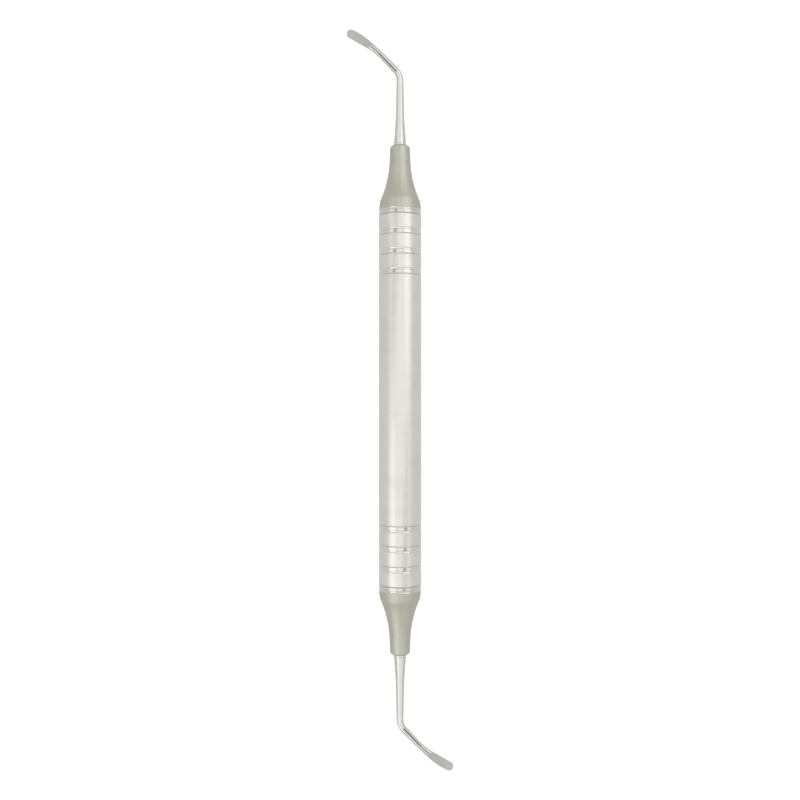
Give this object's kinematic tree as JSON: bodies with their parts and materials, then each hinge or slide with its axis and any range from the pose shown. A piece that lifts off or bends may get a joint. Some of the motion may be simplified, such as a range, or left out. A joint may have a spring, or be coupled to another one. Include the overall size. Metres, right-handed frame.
{
  "type": "dental elevator",
  "caption": "Double-ended dental elevator: hollow steel handle with screw-in matte cones and bent, spoon-bladed working ends.",
  "frame": {"origin": "centre of the handle, on its axis", "axes": "+X along the handle to the upper end; the part lies as it comes to rest on a flat top, on its handle and the lower blade's edge; the upper blade bends towards +Y and the lower one towards -Y, with their ground faces up"},
  "size_m": [0.1736, 0.0233, 0.01],
  "materials": {
    "satin_steel": "fine satin turned stainless steel with polished bands",
    "polished_steel": "polished turned stainless steel",
    "blasted_steel": "bead-blasted matte stainless steel",
    "blade_steel": "bright polished stainless steel, with a matte ground spoon face",
    "insert_steel": "as turned stainless steel",
    "pin_steel": "ground stainless steel pin",
    "silicone": "dark autoclavable silicone"
  },
  "bodies": {
    "handle": {"handle_tube": "satin_steel", "upper_thread_insert": "insert_steel", "lower_thread_insert": "insert_steel"},
    "upper_collar": {"upper_collar_ring": "polished_steel"},
    "upper_end": {"upper_ferrule": "blasted_steel", "upper_working_end": "blade_steel", "upper_tang_pin": "pin_steel", "upper_o_ring": "silicone"},
    "lower_collar": {"lower_collar_ring": "polished_steel"},
    "lower_end": {"lower_ferrule": "blasted_steel", "lower_working_end": "blade_steel", "lower_tang_pin": "pin_steel", "lower_o_ring": "silicone"}
  },
  "joints": [
    {"name": "upper_end_travel", "type": "slide", "parent": "handle", "child": "upper_collar", "axis": [1, 0, 0], "range_m": [0, 0.0055]},
    {"name": "upper_end_turn", "type": "hinge", "parent": "upper_collar", "child": "upper_end", "pos_m": [0.043, 0, 0], "axis": [1, 0, 0], "range_deg": [0, 2640.5]},
    {"name": "lower_end_travel", "type": "slide", "parent": "handle", "child": "lower_collar", "axis": [-1, 0, 0], "range_m": [0, 0.0055]},
    {"name": "lower_end_turn", "type": "hinge", "parent": "lower_collar", "child": "lower_end", "pos_m": [-0.043, 0, 0], "axis": [-1, 0, 0], "range_deg": [0, 2640.5]}
  ],
  "couplings": [
    {"joint": "upper_end_turn", "follows": "upper_end_travel", "rad_per_m": 8377.6},
    {"joint": "lower_end_turn", "follows": "lower_end_travel", "rad_per_m": 8377.6}
  ]
}
